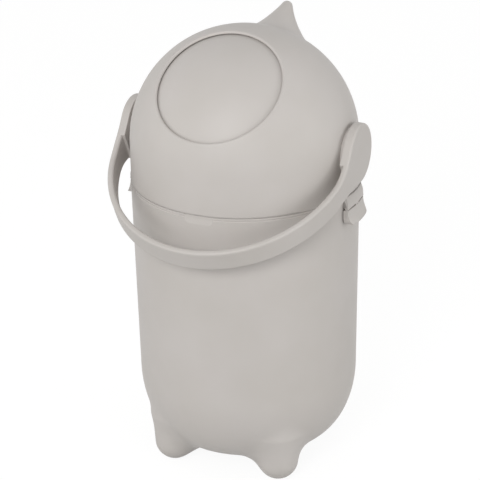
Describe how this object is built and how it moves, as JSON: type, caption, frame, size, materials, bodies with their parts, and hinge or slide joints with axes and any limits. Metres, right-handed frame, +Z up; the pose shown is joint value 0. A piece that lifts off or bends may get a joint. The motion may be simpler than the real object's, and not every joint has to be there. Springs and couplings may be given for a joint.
{
  "type": "nappy bin",
  "caption": "Round nappy bin on short feet, with a domed lid, a ball drum that the carrying handle turns over, and side clips that hold the lid.",
  "frame": {"origin": "on the bin's axis at floor height, on the plane of the four foot pads", "axes": "+Z up along the bin's axis, -Y to the front where the opening is, +X to the right hub as seen from the front"},
  "size_m": [0.2872, 0.3124, 0.5254],
  "materials": {
    "shell_plastic": "fine satin texture, warm grey",
    "inner_plastic": "plain moulded",
    "rubber": "soft matt",
    "steel": "plated"
  },
  "bodies": {
    "bin": {"bin_body": "shell_plastic", "foot_pads": "rubber", "liner_ring": "inner_plastic"},
    "lid": {"lid_shell": "shell_plastic", "opening_seal": "rubber", "lid_collar": "inner_plastic", "lower_seal": "rubber", "rim_gasket": "rubber", "lid_screws": "steel", "bush_left": "inner_plastic", "bush_right": "inner_plastic", "clip_pin_left": "steel", "clip_pin_right": "steel"},
    "drum": {"drum_upper": "shell_plastic", "drum_lower": "shell_plastic", "cup_liner": "inner_plastic", "drum_screws": "steel", "cup_screws": "steel", "trunnion_left": "inner_plastic", "trunnion_right": "inner_plastic", "trunnion_screws": "steel", "handle": "shell_plastic", "hub_screws": "steel"},
    "clip_l": {"clip_left": "shell_plastic"},
    "clip_r": {"clip_right": "shell_plastic"}
  },
  "joints": [
    {"name": "lid_lift", "type": "slide", "parent": "bin", "child": "lid", "axis": [0, 0, 1], "range_m": [0, 0.12]},
    {"name": "drum_turn", "type": "hinge", "parent": "lid", "child": "drum", "pos_m": [0, 0, 0.3934], "axis": [-1, 0, 0], "range_deg": [0, 140]},
    {"name": "clip_left_swing", "type": "hinge", "parent": "lid", "child": "clip_l", "pos_m": [-0.1348, 0, 0.334], "axis": [0, 1, 0], "range_deg": [0, 25]},
    {"name": "clip_right_swing", "type": "hinge", "parent": "lid", "child": "clip_r", "pos_m": [0.1348, 0, 0.334], "axis": [0, -1, 0], "range_deg": [0, 25]}
  ]
}
